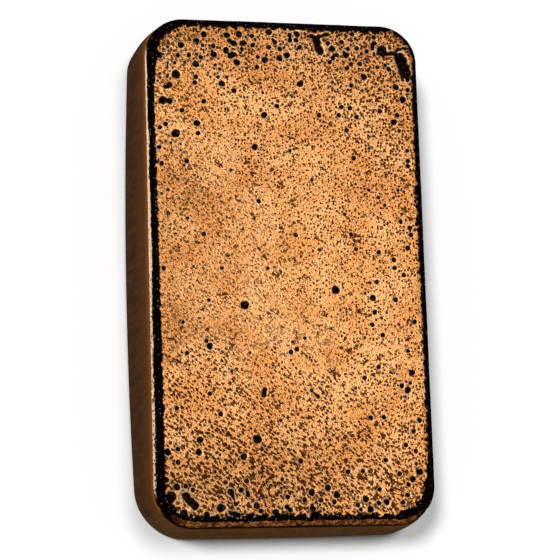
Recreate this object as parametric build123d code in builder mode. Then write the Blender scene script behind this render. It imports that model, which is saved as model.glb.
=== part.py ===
"""A one kilogram copper ingot: one casting, turned out of an open mould and lying on its pour side.

The frame has its origin at the middle of the underside, +Z up through the pitted face, +Y along the length.
Sizes are in millimetres and angles in degrees.
"""

import os
from math import cos, radians, sin, tan

from build123d import *

# Outline of the mould's floor, where the walls would meet the face before the shoulder is rounded
face_length = 99.8
face_width = 54.8
face_corner_radius = 7.5

# The walls lean out on the way down, and their long and short sides bow out at the pour side
thickness = 19.7
wall_draft = 3.2
base_corner_radius = 8.0
base_side_bow = 1.3
base_end_bow = 0.2

# The shoulder round the face is cut from a band of even draft, this many times as high as its radius
shoulder_radius = 2.0
band_per_radius = 1.25

# The meniscus round the pour side turns under in steps
meniscus_radius = 1.5
meniscus_steps = 3

# Gas pits are open bubbles: a bowl that is this deep for each millimetre of its mouth
pit_depth_ratio = 0.45
small_pit_mouth = 1.4
large_pit_mouth = 1.8
corner_pit_mouth = 2.4

# Their places on the flat of the face, as shares of its half width and half length
small_pit_places = [
    (-0.87, 0.55),
    (-0.86, 0.80),
    (-0.70, 0.59),
    (-0.70, 0.84),
    (-0.50, 0.76),
    (-0.26, 0.50),
    (0.12, 0.77),
    (0.64, -0.12),
    (0.10, -0.91),
    (0.23, -0.89),
]
large_pit_places = [
    (-0.96, 0.69),
    (0.34, -0.09),
    (-0.37, -0.16),
    (-0.30, -0.70),
    (-0.97, -0.92),
]
corner_pit_place = (0.79, 0.93)

# Two bubbles that ran on before they froze, with their lean from +Y towards -X
end_gouge_width = 1.6
end_gouge_run = 1.2
end_gouge_lean = 22.0
end_gouge_place = (0.27, 0.94)
corner_gouge_width = 2.4
corner_gouge_run = 2.6
corner_gouge_lean = 15.0
corner_gouge_place = (0.96, 0.87)

# Worked out from the sizes above
band_height = band_per_radius * shoulder_radius
flat_half_width = face_width / 2 - shoulder_radius
flat_half_length = face_length / 2 - shoulder_radius


def spread(height):
    """How far the wall at a height stands out beyond the face."""
    return (thickness - height) * tan(radians(wall_draft))


def bowed_rectangle(width, length, side_bow, end_bow):
    """Draw four arcs round a rectangle, each standing out at its middle by its bow."""
    x, y = width / 2, length / 2
    ThreePointArc((x, -y), (x + side_bow, 0), (x, y))
    ThreePointArc((x, y), (0, y + end_bow), (-x, y))
    ThreePointArc((-x, y), (-x - side_bow, 0), (-x, -y))
    ThreePointArc((-x, -y), (0, -y - end_bow), (x, -y))


def on_face(place, depth):
    """Point at a place on the face, sunk by a depth."""
    return (place[0] * flat_half_width, place[1] * flat_half_length, thickness - depth)


def bowl(mouth):
    """Radius of the round bubble that leaves this mouth, and the depth of its centre."""
    depth = mouth * pit_depth_ratio
    radius = (mouth**2 / 4 + depth**2) / (2 * depth)
    return radius, depth - radius


def cut_pits(places, mouth):
    """Cut one round bowl at each place."""
    radius, sink = bowl(mouth)
    with Locations(*[on_face(place, sink) for place in places]):
        Sphere(radius, mode=Mode.SUBTRACT)


def cut_gouge(place, width, run, lean):
    """Cut a bowl that is drawn out along a run between its round ends."""
    radius, sink = bowl(width)
    with Locations(Location(on_face(place, sink), (0, 0, lean))):
        Cylinder(radius, run, rotation=(90, 0, 0), mode=Mode.SUBTRACT)
        with Locations((0, -run / 2), (0, run / 2)):
            Sphere(radius, mode=Mode.SUBTRACT)


with BuildPart() as ingot:
    # Bowed outlines of the pour side, from its flat up round the meniscus to the foot of the wall
    for step in range(meniscus_steps + 1):
        turn = radians(90 * step / meniscus_steps)
        height = meniscus_radius * (1 - cos(turn))
        inset = meniscus_radius * (1 - sin(turn))
        grow = spread(height) - inset
        with BuildSketch(Plane.XY.offset(height)) as pour_outline:
            with BuildLine():
                bowed_rectangle(face_width + 2 * grow, face_length + 2 * grow, base_side_bow, base_end_bow)
            make_face()
            fillet(pour_outline.vertices(), base_corner_radius - inset)

    # Straight outline at the top of the wall, and the wall that runs up to it
    with BuildSketch(Plane.XY.offset(thickness - band_height)) as wall_top:
        grow = spread(thickness - band_height)
        RectangleRounded(face_width + 2 * grow, face_length + 2 * grow, face_corner_radius + grow)
    loft(ruled=True)

    # Band of even draft up to the face, with its shoulder rounded
    extrude(wall_top.sketch, amount=band_height, taper=wall_draft)
    fillet(ingot.faces().sort_by(Axis.Z)[-1].edges(), shoulder_radius)

    # Gas pits in the face
    cut_pits(small_pit_places, small_pit_mouth)
    cut_pits(large_pit_places, large_pit_mouth)
    cut_pits([corner_pit_place], corner_pit_mouth)
    cut_gouge(end_gouge_place, end_gouge_width, end_gouge_run, end_gouge_lean)
    cut_gouge(corner_gouge_place, corner_gouge_width, corner_gouge_run, corner_gouge_lean)

ingot.part.label = "ingot"
os.makedirs("parts", exist_ok=True)
export_step(ingot.part, "parts/ingot.step")
print("volume", round(ingot.part.volume), "mm3, box", ingot.part.bounding_box().size)
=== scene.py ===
"""Looks of the copper ingot: the casting with its gas pits, dark edge band and brown walls, and the studio.

Sizes are in millimetres in the row's frame, pixels are those of the photograph, and colours are linear.
"""

from collections import namedtuple
from math import cos, pi, radians, sin, tan

import bpy
import numpy as np
from mathutils import Euler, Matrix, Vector, noise
from mathutils.geometry import delaunay_2d_cdt


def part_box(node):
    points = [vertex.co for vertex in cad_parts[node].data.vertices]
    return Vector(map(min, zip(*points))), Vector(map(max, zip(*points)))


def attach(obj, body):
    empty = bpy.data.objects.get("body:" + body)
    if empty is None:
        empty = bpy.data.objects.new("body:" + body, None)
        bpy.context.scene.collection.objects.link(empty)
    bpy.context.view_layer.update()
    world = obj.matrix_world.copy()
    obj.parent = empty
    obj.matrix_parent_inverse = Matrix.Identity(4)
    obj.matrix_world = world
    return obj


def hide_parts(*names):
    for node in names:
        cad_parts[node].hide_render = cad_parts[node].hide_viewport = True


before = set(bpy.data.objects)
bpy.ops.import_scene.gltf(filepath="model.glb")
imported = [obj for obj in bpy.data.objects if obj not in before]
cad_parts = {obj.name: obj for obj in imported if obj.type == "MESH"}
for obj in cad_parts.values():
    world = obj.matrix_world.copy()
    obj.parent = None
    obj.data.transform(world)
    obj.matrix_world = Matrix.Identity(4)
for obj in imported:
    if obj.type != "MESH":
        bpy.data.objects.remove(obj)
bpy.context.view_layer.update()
metres = 0.001

# Sizes of the casting, as in the part's source
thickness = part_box("ingot")[1].z / metres
face_half_width = 27.4
face_half_length = 49.9
face_corner_radius = 7.5
wall_draft = radians(3.2)
shoulder_radius = 2.0
band_height = 2.5
base_corner_radius = 8.0
base_side_bow = 1.3
base_end_bow = 0.2
meniscus_radius = 1.5

# How the pour side's corners differ from that radius, from the far right one round by the left
corner_unevenness = (0.0, -0.5, 1.5, -1.0)

# How much fuller its walls are halfway down at each of those corners
corner_fullness = (0.0, 1.0, 0.0, 1.0)

# How far the near end's foot draws in towards its right corner
near_slant = 0.35

# The photograph's camera
image_size = 560
focal_pixels = 2058.0
sensor_width = 36.0
camera_place = Vector((-88.357, -75.876, 401.682))
camera_turn = Euler((radians(11.002), radians(-12.351), radians(-1.827)))

# How finely each surface is divided
outline_step = 0.40
corner_steps = 36
shoulder_rows = 10
wall_rows = 14
meniscus_rows = 5
face_step = 0.36
face_jitter = 0.1
underside_step = 1.6
underside_margin = 0.5
merge_distance = 0.01
merge_digits = 2

# Rings of points round a pit, in half mouths, and how far other points keep off it
pit_ring_shares = (0.45, 0.8, 1.0, 1.2)
pit_ring_step = 0.24
pit_ring_least = 7
lattice_clearance = 1.3
ring_clearance = 1.1

# Pits seen in the photograph, as the pixels of their middles, by the width of their mouths
corner_mouth = 2.3
corner_pits = [(382, 51), (171, 497)]
wide_mouth = 1.75
wide_pits = [
    (163, 100), (195, 505), (258, 439), (336, 290), (176, 133), (245, 305), (176, 74), (184, 514),
    (221, 508),
]
medium_mouth = 1.35
medium_pits = [
    (181, 45), (214, 54), (196, 64), (222, 83), (197, 123), (255, 147), (300, 84), (265, 60), (237, 62),
    (169, 85), (280, 58), (287, 55), (234, 43), (243, 43), (239, 34), (396, 87), (373, 298), (244, 457),
    (200, 440), (177, 487), (186, 497), (231, 492), (276, 512), (312, 492), (328, 488), (313, 509),
    (366, 499), (387, 502), (371, 509), (412, 373), (408, 390), (420, 472), (170, 101), (264, 115),
    (269, 32), (204, 34), (226, 50), (160, 55), (346, 55), (332, 49), (364, 77), (403, 100), (394, 122),
    (337, 495), (413, 479), (199, 452), (166, 480), (207, 515), (168, 452), (210, 346), (297, 34),
    (227, 35), (257, 506),
]
small_mouth = 1.0
small_pits = [
    (196, 77), (195, 82), (198, 133), (277, 106), (257, 67), (252, 36), (197, 40), (162, 163), (166, 124),
    (234, 90), (204, 101), (347, 68), (351, 64), (360, 64), (350, 108), (347, 130), (357, 48), (389, 69),
    (296, 235), (377, 282), (404, 275), (394, 260), (379, 252), (417, 224), (410, 228), (415, 322),
    (210, 394), (291, 352), (297, 349), (379, 367), (402, 386), (371, 418), (414, 431), (406, 445),
    (416, 451), (386, 460), (400, 474), (301, 461), (288, 497), (358, 505), (241, 490), (348, 472),
    (280, 49), (253, 45), (242, 49), (213, 46), (189, 55), (201, 57), (178, 55), (269, 47), (275, 42),
    (182, 110), (160, 127), (159, 147), (187, 161), (348, 49), (337, 55), (333, 58), (330, 62), (373, 45),
    (367, 51), (374, 37), (397, 115), (408, 161), (408, 166), (354, 158), (339, 115), (342, 107),
    (357, 117), (319, 115), (328, 43), (342, 42), (352, 34), (290, 35), (290, 40), (296, 40), (300, 47),
    (315, 31), (312, 36), (408, 90), (380, 111), (193, 490), (186, 486), (261, 511), (253, 515), (247, 481),
    (178, 462), (178, 449), (177, 408), (221, 414), (248, 495), (384, 417), (363, 471), (305, 500),
    (321, 500), (291, 510), (287, 507), (379, 503), (380, 489), (408, 495), (375, 312), (383, 335),
    (411, 235), (408, 248), (204, 234), (164, 268), (259, 201), (395, 268),
]
tiny_mouth = 0.75
tiny_pits = [
    (278, 101), (227, 77), (218, 77), (203, 45), (185, 62), (220, 69), (247, 68), (293, 342), (305, 338),
    (209, 300), (232, 371), (281, 420), (330, 440), (356, 388), (345, 214), (312, 180), (231, 170),
    (290, 151), (369, 190), (385, 205), (398, 190), (402, 214), (320, 250), (268, 268), (188, 218),
    (183, 322), (222, 268),
]

# Gouges, as the pixels of their two ends and their width
gouges = [
    ((316, 39), (320, 51), 1.7),
    ((319, 36), (328, 34), 0.9),
    ((315, 38), (308, 36), 0.7),
    ((400, 58), (406, 72), 2.5),
    ((400, 72), (403, 80), 0.7),
    ((408, 73), (413, 79), 0.7),
    ((387, 54), (394, 53), 0.9),
    ((394, 53), (399, 49), 0.8),
    ((399, 49), (407, 48), 0.8),
    ((230, 56), (234, 54), 1.2),
    ((168, 62), (168, 75), 0.6),
    ((197, 43), (197, 54), 0.6),
    ((171, 142), (172, 150), 0.6),
    ((181, 143), (181, 150), 0.6),
    ((178, 117), (184, 131), 0.5),
    ((186, 496), (195, 506), 1.6),
    ((164, 506), (172, 512), 1.6),
    ((233, 495), (236, 504), 0.8),
    ((231, 513), (239, 515), 1.1),
    ((265, 390), (264, 395), 1.0),
    ((312, 390), (319, 397), 0.8),
]

# Small open bubbles scattered between them
bubble_seed = 11
bubble_tries = 1700
bubble_margin = 1.5
bubble_least = 0.45
bubble_spread = 0.17

# Chance of a bubble at each try, and its gain towards a side beyond a share of the half size
bubble_chance = 0.03
bubble_far = (1.1, 0.6)
bubble_right = (0.40, 0.3)
bubble_near = (1.5, 0.72)
bubble_far_left = (1.6, 0.55)

# Bowls of the pits: depth by mouth, uneven outline, and how the dark inside of a small one is held back
pit_depth_ratio = 0.42
pit_warp = 0.32
pit_warp_size = 0.8
pit_past_shoulder = 0.5
pit_rim_reach = 1.12
pit_rim_width = 0.3
pit_shade_least = 0.4
pit_shade_rise = 0.6
pit_outside = -1.0

# Noise of the cast surface, as the size of its lumps and an offset
broad_noise = (11.0, 3.0)
lump_noise = (2.6, 7.0)
pebble_noise = (0.95, 1.0)
ripple_noise = (14.0, 5.0)

# How deep that noise goes on the face, on the walls and in the hollow of the underside
face_sink = 0.06
broad_depth = 0.03
lump_depth = 0.025
pebble_depth = 0.025
fade_past_shoulder = 0.8
fade_width = 1.5
wall_sink = 0.05
wall_ripple = 0.04
wall_foot_height = 2.0
hollow_margin = 1.0
hollow_width = 6.0
hollow_depth = 0.25
hollow_ripple = 0.12
hollow_lumps = 0.06

# Where the dark band's inner border lies, from the flat's edge outwards
band_left = 0.1
band_left_rise = 0.55
band_right = 0.35
band_near = -0.2
band_far = 0.0
corner_shifts = {(-1, 1): -0.4, (1, 1): 0.7, (-1, -1): 0.1, (1, -1): -0.8}

# Where its parts begin and are full, as shares of the face's half sizes
band_rise_span = (-0.34, 0.66)
band_side_span = (0.82, 0.92)
band_corner_span = (1.68, 1.78)
left_rim_span = (0.89, 0.84)
near_end_span = (0.93, 0.96)

# Reach of the fine pocks in the middle of the face, and what each part adds over a span of the half sizes
pock_middle = 0.15
pock_upper_right = 0.12
pock_upper_right_spans = ((-0.1, 0.8), (-0.1, 0.7))
pock_near = 0.14
pock_near_span = (-0.35, -0.85)
pock_far = 0.09
pock_far_span = (0.6, 0.95)
pock_far_left = 0.07
pock_far_left_spans = ((-0.55, -0.85), (0.0, 0.5))
pock_left = 0.03
pock_left_span = (0.0, -0.6)

# Share of painted shade on the copper by part of the face, and the span of the half sizes over which it comes
# in
painted_shade_near = 0.33
painted_shade_near_slope = 0.40
painted_shade_near_limits = (0.02, 0.41)
painted_shade_near_span = (-0.42, -0.77)
painted_shade_upper = 0.10
painted_shade_upper_span = (0.15, 0.50)
painted_shade_far = 0.30
painted_shade_far_span = (0.68, 0.93)
painted_shade_left = 0.33
painted_shade_left_spans = ((0.2, -0.8), (0.6, 0.3))

# Colours of the face
deep_copper = (0.75, 0.306, 0.083, 1)
pale_copper = (0.90, 0.446, 0.165, 1)
# Pale flecks: partly random tone, partly painted highlight
copper_fleck_and_glint = (1.0, 0.58, 0.30, 1)
# Copper under painted shade
painted_shade_copper = (0.22, 0.074, 0.019, 1)
# Marks: dark oxide, with painted shade of the pocks
mark_brown = (0.065, 0.0165, 0.0026, 1)
mark_black = (0.012, 0.003, 0.001, 1)
# Painted highlight on the pits' lips
lip_gleam = (1.0, 0.68, 0.40, 1)
pit_black = (0.004, 0.002, 0.001, 1)
pit_brown = (0.10, 0.055, 0.028, 1)

# Colours of the band with its painted glints, its rust, and its rim's painted highlight with its brown fringe
band_black = (0.003, 0.0015, 0.001, 1)
band_glint = (0.26, 0.20, 0.17, 1)
rust_dark = (0.082, 0.026, 0.008, 1)
rust_light = (0.38, 0.130, 0.034, 1)
highlight_fringe_brown = (0.16, 0.050, 0.014, 1)
rim_painted_highlight = (1.0, 0.70, 0.45, 1)
crack_black = (0.008, 0.004, 0.002, 1)

# Colours of the walls and the underside; the near end's are painted lighter, as painted light
side_dark = (0.047, 0.021, 0.0110, 1)
side_light = (0.083, 0.035, 0.0150, 1)
painted_lit_end_dark = (0.074, 0.037, 0.0145, 1)
painted_lit_end_pale = (0.126, 0.062, 0.0230, 1)
upper_brown = (0.175, 0.061, 0.0160, 1)
brow_red = (0.26, 0.082, 0.014, 1)
underside_brown = (0.13, 0.055, 0.028, 1)

# Noise of the material: its middle, its roughness and its layers
noise_middle = 0.5
noise_roughness = 0.55
smooth_detail = 1.0
plain_detail = 2.0
fine_detail = 3.0
mottle_detail = 5.0

# Tones of the face: sizes of patches, the noise between which each shows, and its share
tone_patch = 10.0
tone_range = (0.36, 0.64)
fleck_glint_size = 0.5
fleck_glint_range = (0.50, 0.66)
fleck_glint_share = 0.40
gleam_patch = 1.0
gleam_range = (0.53, 0.60)
gleam_share = 0.4
gleam_least = 0.10
pit_patch = 0.5
pit_brown_range = (0.54, 0.68)
pit_brown_share = 0.45
pit_dark_range = (0.15, 0.80)
lip_range = (-0.9, -0.1)
lip_clearing = 0.8

# Fine marks: sizes of their cells, how their reach varies, and their strength
thin_cell = 0.46
thin_shrink = 0.03
thin_strength = 0.85
thick_cell = 0.54
round_cell = 0.64
mark_variation = 0.34
fine_cell = 0.36
fine_reach = 0.12
fine_variation = 0.40
fine_strength = 0.4
speck_softness = 0.08
reach_patch = 5.0
reach_swing = 0.16

# How marks are bent and drawn out on a slant, and where each kind gives way to the next
wander_scale = 1.5
wander_reach = 0.7
stir_share = 0.35
slant_angle = radians(42)
slant_squeeze = (0.55, 1.0, 1.0)
border_patch = 8.0
border_swing = 30.0
border_lean = 0.5
thick_border = (-8.0, -22.0)
round_border = (1.0, 2.0)

# Wriggles where marks run together
wriggle_size = 0.9
wriggle_width = (0.06, 0.025)
wriggle_patch = 1.7
wriggle_range = (0.61, 0.67)
wriggle_near = (-34.0, -44.0)
wriggle_gain = 0.10

# Band: its ragged border, painted glints, waves, rust and the crack below the rust
ragged_size = 1.3
ragged_reach = 2.6
ragged_left_loss = 0.40
ragged_near_gain = 0.5
border_softness = 0.12
glint_cell = 0.75
glint_reach = -0.06
glint_variation = 0.40
glint_metal = 0.6
wave_size = 1.0
wave_reach = 0.9
rust_wave_size = 1.1
rust_wave_reach = 1.2
rust_run = (1.0, 1.2)
rust_ends = (25.0, 21.0)
rust_fleck_size = 0.8
rust_fleck_range = (0.42, 0.60)
crack_run = 3.5
crack_width = (1.4, 0.6)

# Rim's painted highlight: where it starts, how its width wanders, and its pale beads
rim_run = (2.12, 2.32)
rim_patch = 7.0
rim_swing = 1.0
rim_narrow_span = (8.0, 40.0)
rim_narrow = 0.35
bead_size = 0.55
bead_range = (0.41, 0.51)
bead_rise_span = (-30.0, 15.0)
bead_gain = 0.10

# Walls: where they start, their upright mottle, and the heights of their tones
wall_run = (3.45, 3.65)
mottle_stretch = (1.0, 1.0, 0.2)
mottle_size = 1.3
mottle_range = (0.25, 0.75)
upper_heights = (6.0, 16.5)
upper_share = 0.42
brow_heights = (14.0, 17.4)
brow_share = 0.9
underside_heights = (0.8, 0.1)

# Finish of each surface
face_roughness = 0.55
band_roughness = 0.50
wall_roughness = 0.85
mark_cover = 0.8
grain_size = 0.35
grain_share = 0.6
wall_smoothness = 0.9
relief_depth = 0.24

# The studio, with the floor's half size in metres and the lamps' apparent sizes in degrees
floor_half = 1.5
floor_tone = (0.97, 0.97, 0.97, 1)
floor_roughness = 0.9
key_strength = 1.85
key_size = 10
key_aim = (0.37, -0.15, -1.0)
fill_strength = 1.1
fill_size = 14
fill_aim = (-0.12, -0.16, -1.0)
room_tone = (1.0, 1.0, 1.0, 1)
room_strength = 0.16

Row = namedtuple("Row", "grow height corner bow lean run")
Pit = namedtuple("Pit", "start end mouth")


def ramp(value, start, end):
    """Rise evenly from 0 to 1 as values go from start to end."""
    return np.clip((value - start) / (end - start), 0, 1)


def face_shares(points):
    """Places across and along the face, as shares of its half width and half length."""
    return points[:, 0] / face_half_width, points[:, 1] / face_half_length


def spread(height):
    """How far the wall at a height stands out beyond the face."""
    return (thickness - height) * tan(wall_draft)


def on_face(pixel):
    """Place on the face's plane that the camera sees at a pixel."""
    right = pixel[0] - image_size / 2
    up = image_size / 2 - pixel[1]
    sight = camera_turn.to_matrix() @ Vector((right, up, -focal_pixels))
    reach = (thickness - camera_place.z) / sight.z
    return (camera_place + reach * sight).xy


def outline(grow, corner, bow):
    """Points round the casting where it stands out beyond the face by grow, with a share of the bow."""
    half = np.array((face_half_width + grow, face_half_length + grow))
    halfway = 4 * bow * (1 - bow)
    radii = []
    for extra, full in zip(corner_unevenness, corner_fullness):
        radii.append(corner + bow * extra - halfway * full)
    signs = np.array([(1, 1), (-1, 1), (-1, -1), (1, -1)])
    middles = [sign * (half - radius) for sign, radius in zip(signs, radii)]
    side_steps = round(2 * face_half_length / outline_step)
    end_steps = round(2 * face_half_width / outline_step)
    pieces = []
    for quarter in range(4):
        out = np.array((cos(pi / 2 * quarter), sin(pi / 2 * quarter)))
        start = middles[quarter - 1] + radii[quarter - 1] * out
        end = middles[quarter] + radii[quarter] * out
        share = np.linspace(0, 1, side_steps if quarter % 2 == 0 else end_steps, endpoint=False)
        turn = pi / 2 * (quarter + np.linspace(0, 1, corner_steps, endpoint=False))
        pieces.append(start + share[:, None] * (end - start))
        pieces.append(middles[quarter] + radii[quarter] * np.stack((np.cos(turn), np.sin(turn)), 1))
    ring = np.concatenate(pieces)
    across, along = ring[:, 0] / half[0], ring[:, 1] / half[1]
    wider = 1 + bow * base_side_bow / half[0] * (1 - along**2)
    longer = 1 + bow * base_end_bow / half[1] * (1 - across**2)
    slant = bow * near_slant * np.clip(across, 0, 1) ** 2 * np.clip(-along, 0, 1)
    return np.stack((ring[:, 0] * wider, ring[:, 1] * longer + slant), 1)


def profile():
    """Rows from the flat's edge to the underside, each with its normal's lean and its run from there."""
    rows = []
    inset = shoulder_radius * (1 - sin(wall_draft)) / cos(wall_draft)
    full_turn = pi / 2 - wall_draft
    for step in range(shoulder_rows + 1):
        turn = full_turn * step / shoulder_rows
        grow = shoulder_radius * sin(turn) - inset
        height = thickness - shoulder_radius * (1 - cos(turn))
        rows.append(Row(grow, height, face_corner_radius + grow, 0.0, turn, shoulder_radius * turn))
    shoulder = rows[-1]
    band_foot = thickness - band_height
    top_corner = face_corner_radius + spread(band_foot)
    for step in range(1, wall_rows + 1):
        height = shoulder.height + (meniscus_radius - shoulder.height) * step / wall_rows
        bow = max((band_foot - height) / (band_foot - meniscus_radius), 0.0)
        corner = top_corner + (base_corner_radius - top_corner) * bow
        run = shoulder.run + (shoulder.height - height) / cos(wall_draft)
        rows.append(Row(spread(height), height, corner, bow, full_turn, run))
    foot = rows[-1]
    for step in range(1, meniscus_rows + 1):
        turn = pi / 2 * step / meniscus_rows
        height = meniscus_radius * (1 - sin(turn))
        inset = meniscus_radius * (1 - cos(turn))
        grow = spread(height) - inset
        run = foot.run + meniscus_radius * turn
        rows.append(Row(grow, height, base_corner_radius - inset, 1.0, pi / 2 + turn, run))
    return rows


def edge_distance(places, row):
    """Distance of plan places from the outline of a straight row, less than zero inside."""
    x = np.abs(places[:, 0]) - (face_half_width + row.grow - row.corner)
    y = np.abs(places[:, 1]) - (face_half_length + row.grow - row.corner)
    outside = np.hypot(np.maximum(x, 0), np.maximum(y, 0))
    return outside + np.minimum(np.maximum(x, y), 0) - row.corner


def bubble_share(place):
    """How likely a place on the face is to keep a bubble: most along both ends and the right side."""
    x, y = place[0] / face_half_width, place[1] / face_half_length
    share = bubble_chance
    for (gain, start), way in ((bubble_far, y), (bubble_right, x), (bubble_near, -y)):
        share += gain * max(way - start, 0)
    gain, start = bubble_far_left
    return share + gain * max(-x - start, 0) * max(y, 0)


def lay_out_pits():
    """All pits of the face, each as two ends of its floor and the width of its mouth."""
    pits = []
    sizes = [
        (corner_mouth, corner_pits),
        (wide_mouth, wide_pits),
        (medium_mouth, medium_pits),
        (small_mouth, small_pits),
        (tiny_mouth, tiny_pits),
    ]
    for mouth, pixels in sizes:
        for pixel in pixels:
            place = on_face(pixel)
            pits.append(Pit(place, place, mouth))
    for start, end, width in gouges:
        pits.append(Pit(on_face(start), on_face(end), width))
    dice = np.random.default_rng(bubble_seed)
    reach = (face_half_width - bubble_margin, face_half_length - bubble_margin)
    for attempt in range(bubble_tries):
        place = dice.uniform(-1, 1, 2) * reach
        mouth = bubble_least + bubble_spread * dice.exponential()
        if dice.random() < bubble_share(place):
            place = Vector(place)
            pits.append(Pit(place, place, min(mouth, small_mouth)))
    return pits


def pit_middle(pit):
    """Middle of a pit in plan."""
    return np.array((pit.start + pit.end) / 2)


def pit_span(pit):
    """Half size of a box that holds a pit with room round it."""
    return (pit.end - pit.start).length / 2 + pit.mouth


def pit_reach(places, pit):
    """Distance of plan places from the middle line of a pit, as a share of its half mouth."""
    start = np.array(pit.start)
    run = np.array(pit.end) - start
    along = np.zeros(len(places))
    if run.any():
        along = np.clip((places - start) @ run / (run @ run), 0, 1)
    return np.linalg.norm(places - start - along[:, None] * run, axis=1) / (pit.mouth / 2)


def pit_rings(pit):
    """Points in and round a pit, closer together than those of the plain face."""
    points = [pit.start.copy(), pit.end.copy()]
    for share in pit_ring_shares:
        radius = share * pit.mouth / 2
        steps = max(pit_ring_least, round(2 * pi * radius / pit_ring_step))
        for step in range(steps):
            turn = 2 * pi * step / steps
            middle = pit.start if step % 2 else pit.end
            points.append(middle + Vector((radius * cos(turn), radius * sin(turn))))
    return np.array(points)


def face_points(pits, flat):
    """Plan points inside the flat of the face: an even lattice with finer rings at the pits."""
    dice = np.random.default_rng(bubble_seed)
    rows = np.arange(-face_half_length, face_half_length, face_step * cos(pi / 6))
    columns = np.arange(-face_half_width, face_half_width, face_step)
    y, x = np.meshgrid(rows, columns, indexing="ij")
    x = x + face_step / 2 * (np.arange(len(rows)) % 2)[:, None]
    lattice = np.stack((x.ravel(), y.ravel()), 1)
    lattice = lattice + dice.uniform(-face_jitter, face_jitter, lattice.shape) * face_step
    kept = []
    middles = np.array([pit_middle(pit) for pit in pits])
    spans = np.array([pit_span(pit) for pit in pits])
    for number, pit in enumerate(pits):
        close = np.abs(lattice - middles[number]).max(axis=1) < spans[number]
        close[close] = pit_reach(lattice[close], pit) < lattice_clearance
        lattice = lattice[~close]
        rings = pit_rings(pit)
        apart = np.abs(middles - middles[number]).max(axis=1)
        for other in np.flatnonzero(apart < spans + spans[number]):
            if other > number:
                rings = rings[pit_reach(rings, pits[other]) > ring_clearance]
        kept.append(rings)
    points = np.concatenate([lattice] + kept)
    return points[edge_distance(points, flat) < -face_step / 2]


def underside_points(flat):
    """Plan points inside the underside, on an even grid."""
    x = np.arange(-face_half_width, face_half_width, underside_step)
    y = np.arange(-face_half_length, face_half_length, underside_step)
    points = np.stack([part.ravel() for part in np.meshgrid(x, y)], 1)
    return points[edge_distance(points, flat) < -underside_margin]


def fill(ring, points):
    """Triangles over the inside of a ring of plan points that use the points too."""
    places = [Vector(place) for place in np.concatenate((ring, points))]
    count = len(ring)
    edges = [(step, (step + 1) % count) for step in range(count)]
    made = delaunay_2d_cdt(places, edges, [], 1, merge_distance)
    return np.array([tuple(place) for place in made[0]]), made[2]


def rough(places, size, offset=0.0):
    """Smooth noise between about -1 and 1 at each place, with lumps of the given size."""
    return np.array([noise.noise(Vector(place) / size + Vector((offset, 0, 0))) for place in places])


def join_fill(points, ring_start, ring, height, plan, triangles, flip):
    """Add a filled flat to the points of a mesh, using the ring's own points along its edge."""
    known = {}
    for step, (x, y) in enumerate(ring):
        known[round(x, merge_digits), round(y, merge_digits)] = ring_start + step
    index = []
    for x, y in plan:
        key = (round(x, merge_digits), round(y, merge_digits))
        if key not in known:
            known[key] = len(points)
            points.append((x, y, height))
        index.append(known[key])
    faces = [[index[corner] for corner in triangle] for triangle in triangles]
    return [face[::-1] for face in faces] if flip else faces


def build_casting(pits):
    """The plain block: points, normals, runs from the flat's edge, faces, and the end of the top's points."""
    rows = profile()
    points, normals, runs, faces = [], [], [], []
    rings = []
    for row in rows:
        ring = outline(row.grow, row.corner, row.bow)
        rings.append(ring)
        across = np.roll(ring, -1, 0) - np.roll(ring, 1, 0)
        out = np.stack((across[:, 1], -across[:, 0]), 1)
        out = out / np.linalg.norm(out, axis=1)[:, None]
        for place, side in zip(ring, out):
            points.append((place[0], place[1], row.height))
            normals.append((side[0] * sin(row.lean), side[1] * sin(row.lean), cos(row.lean)))
            runs.append(row.run)
    count = len(rings[0])
    for row in range(len(rows) - 1):
        for step in range(count):
            here = row * count + step
            after = row * count + (step + 1) % count
            faces.append([here, here + count, after + count, after])
    wall_end = len(points)

    # The pitted face inside the first row
    plan, triangles = fill(rings[0], face_points(pits, rows[0]))
    faces += join_fill(points, 0, rings[0], thickness, plan, triangles, False)
    face_end = len(points)

    # The underside inside the last row
    plan, triangles = fill(rings[-1], underside_points(rows[0]))
    faces += join_fill(points, wall_end - count, rings[-1], 0.0, plan, triangles, True)

    # Normals and runs of the points inside the two flats
    points = np.array(points)
    added = len(points) - wall_end
    normals = np.concatenate((normals, np.tile((0.0, 0.0, 1.0), (added, 1))))
    normals[face_end:] = (0, 0, -1)
    plan_run = edge_distance(points[:, :2], rows[0])
    runs = np.concatenate((runs, np.zeros(added)))
    runs[wall_end:face_end] = plan_run[wall_end:face_end]
    runs[face_end:] = rows[-1].run - plan_run[face_end:]
    return points, normals, runs, faces, face_end


def sink_pits(points, runs, shoulder_end, pits):
    """How deep each point lies in a pit, and its share of the pit's dark inside."""
    plan = points[:, :2]
    warp = 1 + pit_warp * rough(points * (1, 1, 0), pit_warp_size)
    depth = np.zeros(len(points))
    share = np.full(len(points), pit_outside)
    top = np.flatnonzero(runs < shoulder_end + pit_past_shoulder)
    for pit in pits:
        close = top[np.abs(plan[top] - pit_middle(pit)).max(axis=1) < pit_span(pit)]
        reach = pit_reach(plan[close], pit) * warp[close]
        bowl = pit.mouth * pit_depth_ratio * np.clip(1 - reach**2, 0, 1)
        depth[close] = np.maximum(depth[close], bowl)
        shade = min(pit_shade_least + pit_shade_rise * pit.mouth, 1.0)
        inside = np.clip((pit_rim_reach - reach) / pit_rim_width, pit_outside, shade)
        share[close] = np.maximum(share[close], inside)
    return depth, share


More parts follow.
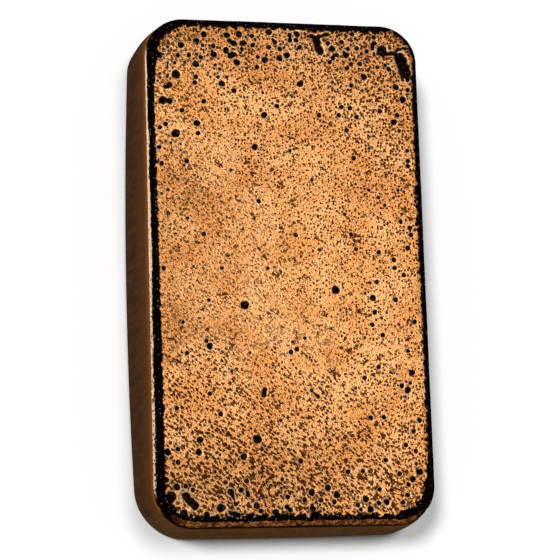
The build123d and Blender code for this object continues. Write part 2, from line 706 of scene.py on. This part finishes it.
def dent(points, normals, runs, face_end, pits):
    """Sink pits and unevenness into the points, always inwards, and give each point's pit share."""
    shoulder_end = shoulder_radius * (pi / 2 - wall_draft)
    depth, share = sink_pits(points, runs, shoulder_end, pits)

    # Broad unevenness, cast lumps and pebbling of the face, which fade out below the shoulder
    fade_end = shoulder_end + fade_past_shoulder
    fade = ramp(runs, fade_end, fade_end - fade_width)
    lumps = rough(points, *lump_noise)
    relief = face_sink + broad_depth * rough(points, *broad_noise)
    relief = relief + lump_depth * lumps + pebble_depth * rough(points, *pebble_noise)
    sink = fade * np.maximum(relief, 0)

    # Slow ripples of the walls, which end at the foot
    ripple = rough(points, *ripple_noise)
    foot = ramp(points[:, 2], 0.0, wall_foot_height)
    wall = foot * (1 - fade) * (wall_sink + wall_ripple * ripple)
    moved = points - normals * (depth + sink + wall)[:, None]

    # The pour side is hollowed a little within its rim, with slow ripples
    hollow_start = runs[face_end:].min() + hollow_margin
    below = ramp(runs, hollow_start, hollow_start + hollow_width)
    below[:face_end] = 0
    moved[:, 2] += below * (hollow_depth + hollow_ripple * ripple + hollow_lumps * lumps)
    moved[:, 2] = np.clip(moved[:, 2], 0, thickness)
    return moved, share


def band_start(points):
    """Run at which the dark band's inner border lies, which differs by side and by corner."""
    x, y = face_shares(points)
    on_side = ramp(np.abs(x), *band_side_span)
    left = band_left + band_left_rise * ramp(y, *band_rise_span)
    start = on_side * np.where(x < 0, left, band_right)
    start = start + (1 - on_side) * np.where(y < 0, band_near, band_far)
    corner = ramp(np.abs(x) + np.abs(y), *band_corner_span)
    for (side, end), shift in corner_shifts.items():
        here = corner * (np.sign(x) == side) * (np.sign(y) == end)
        start = start + here * (shift - start)
    return start


def pock_trend(points):
    """How far the fine pocks reach: least in the middle, most at the upper right and the near end."""
    x, y = face_shares(points)
    across, along = pock_upper_right_spans
    reach = pock_middle + pock_upper_right * ramp(x, *across) * ramp(y, *along)
    reach = reach + pock_near * ramp(y, *pock_near_span) + pock_far * ramp(y, *pock_far_span)
    across, along = pock_far_left_spans
    reach = reach + pock_far_left * ramp(x, *across) * ramp(y, *along)
    return reach + pock_left * ramp(x, *pock_left_span)


def face_painted_shade(points):
    """How much painted shade darkens the copper: most towards the near left corner and along the far end, and
    some at the left.
    """
    x, y = face_shares(points)
    near = ramp(y, *painted_shade_near_span) * np.clip(painted_shade_near - painted_shade_near_slope * x, *painted_shade_near_limits)
    far = ramp(y, *painted_shade_upper_span) * painted_shade_upper + ramp(y, *painted_shade_far_span) * painted_shade_far
    across, along = painted_shade_left_spans
    left = ramp(x, *across) * ramp(np.abs(y), *along) * painted_shade_left
    return near + far + left


def make_casting():
    """The whole ingot as one dense mesh that stands for its plain solid."""
    pits = lay_out_pits()
    points, normals, runs, faces, face_end = build_casting(pits)
    moved, share = dent(points, normals, runs, face_end, pits)
    mesh = bpy.data.meshes.new("ingot_casting")
    mesh.from_pydata((moved * metres).tolist(), [], faces)
    mesh.shade_smooth()

    # One number of each kind for every point, for the material to read
    x, y = face_shares(points)
    kept = {
        "run": runs,
        "edge": runs - band_start(points),
        "pit": share,
        # The left side, which alone gets the rim's painted highlight
        "left": ramp(np.abs(y), *left_rim_span) * (x < 0),
        "near": ramp(-y, *near_end_span),
        "pock": pock_trend(points),
        "face_painted_shade": face_painted_shade(points),
    }
    for name, values in kept.items():
        attribute = mesh.attributes.new(name, "FLOAT", "POINT")
        attribute.data.foreach_set("value", values.astype(np.float32))
    mesh.materials.append(cast_copper())
    casting = bpy.data.objects.new("ingot_casting", mesh)
    bpy.context.scene.collection.objects.link(casting)
    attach(casting, "root")
    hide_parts("ingot")


def add(tree, kind, inputs, **settings):
    """Add a node with its settings, and set or link its inputs."""
    made = tree.nodes.new("ShaderNode" + kind)
    for name, value in settings.items():
        setattr(made, name, value)
    for key, value in inputs.items():
        if isinstance(value, bpy.types.NodeSocket):
            tree.links.new(value, made.inputs[key])
        else:
            made.inputs[key].default_value = value
    return made


def read(tree, name):
    """The number that each point of the mesh keeps under a name."""
    return add(tree, "Attribute", {}, attribute_name=name).outputs["Fac"]


def calc(tree, operation, first, second=0.0):
    """One step of arithmetic on numbers."""
    return add(tree, "Math", {0: first, 1: second}, operation=operation).outputs[0]


def plus(tree, first, second):
    """Sum of two numbers."""
    return calc(tree, "ADD", first, second)


def minus(tree, first, second):
    """Difference of two numbers."""
    return calc(tree, "SUBTRACT", first, second)


def times(tree, first, second):
    """Product of two numbers."""
    return calc(tree, "MULTIPLY", first, second)


def larger(tree, first, second):
    """The larger of two numbers."""
    return calc(tree, "MAXIMUM", first, second)


def absolute(tree, value):
    """A number without its sign."""
    return calc(tree, "ABSOLUTE", value)


def vector_calc(tree, operation, first, second):
    """One step of arithmetic on two vectors."""
    return add(tree, "VectorMath", {0: first, 1: second}, operation=operation).outputs[0]


def scaled(tree, vector, factor):
    """A vector times a number."""
    return add(tree, "VectorMath", {0: vector, "Scale": factor}, operation="SCALE").outputs[0]


def ease(tree, value, low, high):
    """Rise smoothly from 0 to 1 as a value goes from low to high."""
    inputs = {"Value": value, "From Min": low, "From Max": high}
    return add(tree, "MapRange", inputs, interpolation_type="SMOOTHSTEP").outputs[0]


def blend(tree, share, first, second):
    """Mix two colours."""
    return add(tree, "Mix", {0: share, 6: first, 7: second}, data_type="RGBA").outputs[2]


def blend_numbers(tree, share, first, second):
    """Mix two numbers."""
    return add(tree, "Mix", {0: share, 2: first, 3: second}, data_type="FLOAT").outputs[0]


def cloud(tree, place, size, detail=plain_detail):
    """Noise between 0 and 1 with lumps of a size."""
    inputs = {"Vector": place, "Scale": 1 / size, "Detail": detail, "Roughness": noise_roughness}
    return add(tree, "TexNoise", inputs).outputs["Fac"]


def swing(tree, place, size, reach, detail=plain_detail):
    """A number that wanders either side of zero by up to about half its reach."""
    return times(tree, minus(tree, cloud(tree, place, size, detail), noise_middle), reach)


def specks(tree, place, size, reach, vary):
    """Spots in cells of a size, each within a reach of its cell's middle that varies by cell."""
    cells = add(tree, "TexVoronoi", {"Vector": place, "Scale": 1 / size}, voronoi_dimensions="2D")
    chance = add(tree, "SeparateColor", {"Color": cells.outputs["Color"]}).outputs[0]
    limit = plus(tree, reach, times(tree, minus(tree, chance, noise_middle), vary))
    gap = minus(tree, limit, cells.outputs["Distance"])
    return ease(tree, gap, -speck_softness, speck_softness)


def face_specks(tree, place, axes, reach):
    """The fine pock marks of the face: drawn out on a slant at the lower left, round at the upper right."""
    inputs = {"Vector": place, "Scale": wander_scale, "Detail": plain_detail}
    wander = add(tree, "TexNoise", inputs).outputs["Color"]
    wander = vector_calc(tree, "SUBTRACT", wander, (noise_middle, noise_middle, noise_middle))
    wander = scaled(tree, wander, wander_reach)
    bent = vector_calc(tree, "ADD", place, wander)
    stirred = vector_calc(tree, "ADD", place, scaled(tree, wander, stir_share))
    turn = {"Vector": bent, "Angle": slant_angle}
    turned = add(tree, "VectorRotate", turn, rotation_type="Z_AXIS").outputs[0]
    slant = vector_calc(tree, "MULTIPLY", turned, slant_squeeze)

    # The four kinds of mark
    reach = plus(tree, reach, swing(tree, place, reach_patch, reach_swing, detail=fine_detail))
    thin = specks(tree, slant, thin_cell, minus(tree, reach, thin_shrink), mark_variation)
    thin = times(tree, thin, thin_strength)
    thick = specks(tree, slant, thick_cell, reach, mark_variation)
    round_ones = specks(tree, stirred, round_cell, reach, mark_variation)
    fine = times(tree, specks(tree, bent, fine_cell, fine_reach, fine_variation), fine_strength)

    # Which of them shows by place
    farness = plus(tree, axes["Y"], swing(tree, place, border_patch, border_swing))
    drawn = blend_numbers(tree, ease(tree, farness, *thick_border), thin, thick)
    drift = plus(tree, axes["X"], times(tree, axes["Y"], border_lean))
    drift = plus(tree, drift, swing(tree, place, border_patch, border_swing, detail=fine_detail))
    marks = blend_numbers(tree, ease(tree, drift, *round_border), drawn, round_ones)
    marks = larger(tree, marks, fine)

    # Short wriggles where marks run together, most of them at the near end
    line = absolute(tree, swing(tree, slant, wriggle_size, 1.0, detail=smooth_detail))
    more = times(tree, ease(tree, axes["Y"], *wriggle_near), wriggle_gain)
    there = plus(tree, cloud(tree, place, wriggle_patch, detail=smooth_detail), more)
    wriggle = times(tree, ease(tree, line, *wriggle_width), ease(tree, there, *wriggle_range))
    return larger(tree, marks, wriggle)


def face_copper(tree, place, axes):
    """Bright copper with pocks and pits: its colour, its marks, and how far its metal is bare."""
    painted_shade = read(tree, "face_painted_shade")
    pit = read(tree, "pit")
    dark_pit = ease(tree, pit, *pit_dark_range)
    lip = ease(tree, pit, *lip_range)
    marks = face_specks(tree, place, axes, read(tree, "pock"))
    marks = times(tree, marks, minus(tree, 1.0, times(tree, lip, lip_clearing)))

    # Two tones in drifting patches with bright flecks, partly painted highlight, darkened by painted shade by
    # place
    tone = ease(tree, cloud(tree, place, tone_patch, detail=fine_detail), *tone_range)
    colour = blend(tree, tone, deep_copper, pale_copper)
    # The flecks are partly random tone and partly painted highlight
    flecks = times(tree, ease(tree, cloud(tree, place, fleck_glint_size), *fleck_glint_range), fleck_glint_share)
    colour = blend(tree, flecks, colour, copper_fleck_and_glint)
    colour = blend(tree, painted_shade, colour, painted_shade_copper)

    # Over them the dark marks, oxide with painted shade of the pocks and blacker under the painted shade, the
    # painted gleams on the pits' lips and the pits
    colour = blend(tree, marks, colour, blend(tree, painted_shade, mark_brown, mark_black))
    # The gleam on the lips is a painted highlight, all round each pit
    gleam = ease(tree, cloud(tree, place, gleam_patch, detail=smooth_detail), *gleam_range)
    gleam = times(tree, lip, plus(tree, times(tree, gleam, gleam_share), gleam_least))
    colour = blend(tree, gleam, colour, lip_gleam)
    inside = times(tree, ease(tree, cloud(tree, place, pit_patch), *pit_brown_range), pit_brown_share)
    colour = blend(tree, dark_pit, colour, blend(tree, inside, pit_black, pit_brown))
    covered = larger(tree, dark_pit, times(tree, marks, mark_cover))
    return colour, marks, minus(tree, 1.0, covered)


def oxide_band(tree, place, axes, wavy, left, near):
    """Black oxide of the shoulder with painted glints, near rust and the rim's painted highlight: its colour
    and how far it shows as metal.
    """
    # Glints are painted highlights: pale, partly metal specks on the black
    glints = specks(tree, place, glint_cell, glint_reach, glint_variation)
    colour = blend(tree, glints, band_black, band_glint)

    # Rust with darker flecks, between the near corners
    waves = swing(tree, place, rust_wave_size, rust_wave_reach, detail=fine_detail)
    strip = plus(tree, read(tree, "run"), waves)
    between = times(tree, near, ease(tree, absolute(tree, axes["X"]), *rust_ends))
    rust = times(tree, ease(tree, strip, *rust_run), between)
    flecks = ease(tree, cloud(tree, place, rust_fleck_size, detail=fine_detail), *rust_fleck_range)
    colour = blend(tree, rust, colour, blend(tree, flecks, rust_dark, rust_light))

    # Painted highlight along the left rim: a brown fringe with pale beads that close up towards the far end
    fuller = times(tree, ease(tree, axes["Y"], *bead_rise_span), bead_gain)
    beads = ease(tree, plus(tree, cloud(tree, place, bead_size), fuller), *bead_range)
    width = plus(tree, wavy, swing(tree, place, rim_patch, rim_swing))
    width = minus(tree, width, times(tree, ease(tree, axes["Y"], *rim_narrow_span), rim_narrow))
    highlight_strip = times(tree, ease(tree, width, *rim_run), left)
    rim_highlight = times(tree, highlight_strip, beads)
    colour = blend(tree, highlight_strip, colour, highlight_fringe_brown)
    colour = blend(tree, rim_highlight, colour, rim_painted_highlight)
    return colour, larger(tree, rim_highlight, times(tree, glints, glint_metal))


def oxide_wall(tree, place, height, near):
    """Smooth brown oxide of the walls, redder and brighter under the rim, painted lighter at the near end as
    painted light, and the paler underside.
    """
    upright = vector_calc(tree, "MULTIPLY", place, mottle_stretch)
    mottle = ease(tree, cloud(tree, upright, mottle_size, detail=mottle_detail), *mottle_range)
    side = blend(tree, mottle, side_dark, side_light)
    end = blend(tree, mottle, painted_lit_end_dark, painted_lit_end_pale)
    # The near end is painted lighter, standing in for lamp light it lacks
    brown = blend(tree, near, side, end)
    upper = times(tree, ease(tree, height, *upper_heights), upper_share)
    brown = blend(tree, upper, brown, upper_brown)
    brow = times(tree, ease(tree, height, *brow_heights), minus(tree, brow_share, near))
    brown = blend(tree, brow, brown, brow_red)
    return blend(tree, ease(tree, height, *underside_heights), brown, underside_brown)


def cast_copper():
    """Bright pitted copper on the face, a dark oxide band over the shoulder, and brown walls."""
    material = bpy.data.materials.new("cast_copper")
    material.use_nodes = True
    tree = material.node_tree
    tree.nodes.clear()
    place = scaled(tree, add(tree, "TexCoord", {}).outputs["Object"], 1 / metres)
    axes = add(tree, "SeparateXYZ", {"Vector": place}).outputs
    left = read(tree, "left")
    near = read(tree, "near")
    wavy = plus(tree, read(tree, "run"), swing(tree, place, wave_size, wave_reach))
    face, marks, bare = face_copper(tree, place, axes)
    oxide, bright = oxide_band(tree, place, axes, wavy, left, near)

    # The band's ragged inner border, and the wall below the rim
    raggedness = minus(tree, 1.0, times(tree, left, ragged_left_loss))
    raggedness = plus(tree, raggedness, times(tree, near, ragged_near_gain))
    ragged = times(tree, swing(tree, place, ragged_size, ragged_reach, detail=fine_detail), raggedness)
    band = ease(tree, plus(tree, read(tree, "edge"), ragged), -border_softness, border_softness)
    wall = ease(tree, wavy, *wall_run)
    colour = blend(tree, band, face, oxide)
    colour = blend(tree, wall, colour, oxide_wall(tree, place, axes["Z"], near))
    crack = ease(tree, absolute(tree, minus(tree, wavy, crack_run)), *crack_width)
    colour = blend(tree, times(tree, crack, near), colour, crack_black)

    # Bare metal shows on the face, metal is also given to the rim's painted highlight and the glints, and
    # oxide hides it elsewhere
    metal = blend_numbers(tree, band, bare, bright)
    metal = blend_numbers(tree, wall, metal, 0.0)
    roughness = blend_numbers(tree, band, face_roughness, band_roughness)
    roughness = blend_numbers(tree, wall, roughness, wall_roughness)

    # Relief: pocks sink in, with fine grain, and the walls are smoother
    relief = minus(tree, times(tree, cloud(tree, place, grain_size), grain_share), marks)
    relief = times(tree, relief, minus(tree, 1.0, times(tree, wall, wall_smoothness)))
    bump = add(tree, "Bump", {"Height": relief, "Strength": 1.0, "Distance": relief_depth * metres})
    surface = {
        "Base Color": colour,
        "Metallic": metal,
        "Roughness": roughness,
        "Specular IOR Level": 0.0,
        "Normal": bump.outputs[0],
    }
    shader = add(tree, "BsdfPrincipled", surface)
    add(tree, "OutputMaterial", {"Surface": shader.outputs[0]})
    return material


def make_floor():
    """A plain pale floor well beyond the view."""
    corners = [
        (-floor_half, -floor_half, 0),
        (floor_half, -floor_half, 0),
        (floor_half, floor_half, 0),
        (-floor_half, floor_half, 0),
    ]
    mesh = bpy.data.meshes.new("floor")
    mesh.from_pydata(corners, [], [(0, 1, 2, 3)])
    material = bpy.data.materials.new("pale_floor")
    material.use_nodes = True
    shader = material.node_tree.nodes["Principled BSDF"]
    shader.inputs["Base Color"].default_value = floor_tone
    shader.inputs["Roughness"].default_value = floor_roughness
    shader.inputs["Specular IOR Level"].default_value = 0.0
    mesh.materials.append(material)
    floor = bpy.data.objects.new("floor", mesh)
    bpy.context.scene.collection.objects.link(floor)


def add_lamp(name, strength, size, aim):
    """A distant lamp of an apparent size that shines along a direction."""
    lamp = bpy.data.lights.new(name, "SUN")
    lamp.energy = strength
    lamp.angle = radians(size)
    holder = bpy.data.objects.new(name, lamp)
    holder.rotation_euler = Vector(aim).to_track_quat("-Z", "Y").to_euler()
    bpy.context.scene.collection.objects.link(holder)


def make_light():
    """A soft key lamp from the upper left, a soft fill from nearly overhead and the pale room."""
    add_lamp("key", key_strength, key_size, key_aim)
    add_lamp("fill", fill_strength, fill_size, fill_aim)
    world = bpy.data.worlds.new("room")
    world.use_nodes = True
    background = world.node_tree.nodes["Background"]
    background.inputs["Color"].default_value = room_tone
    background.inputs["Strength"].default_value = room_strength
    bpy.context.scene.world = world


def make_camera():
    """The photograph's viewpoint."""
    lens = bpy.data.cameras.new("camera")
    lens.sensor_width = sensor_width
    lens.lens = focal_pixels * sensor_width / image_size
    camera = bpy.data.objects.new("camera", lens)
    camera.location = camera_place * metres
    camera.rotation_euler = camera_turn
    bpy.context.scene.collection.objects.link(camera)
    bpy.context.scene.camera = camera


make_camera()
make_casting()
make_floor()
make_light()
bpy.context.scene.view_settings.view_transform = "Standard"
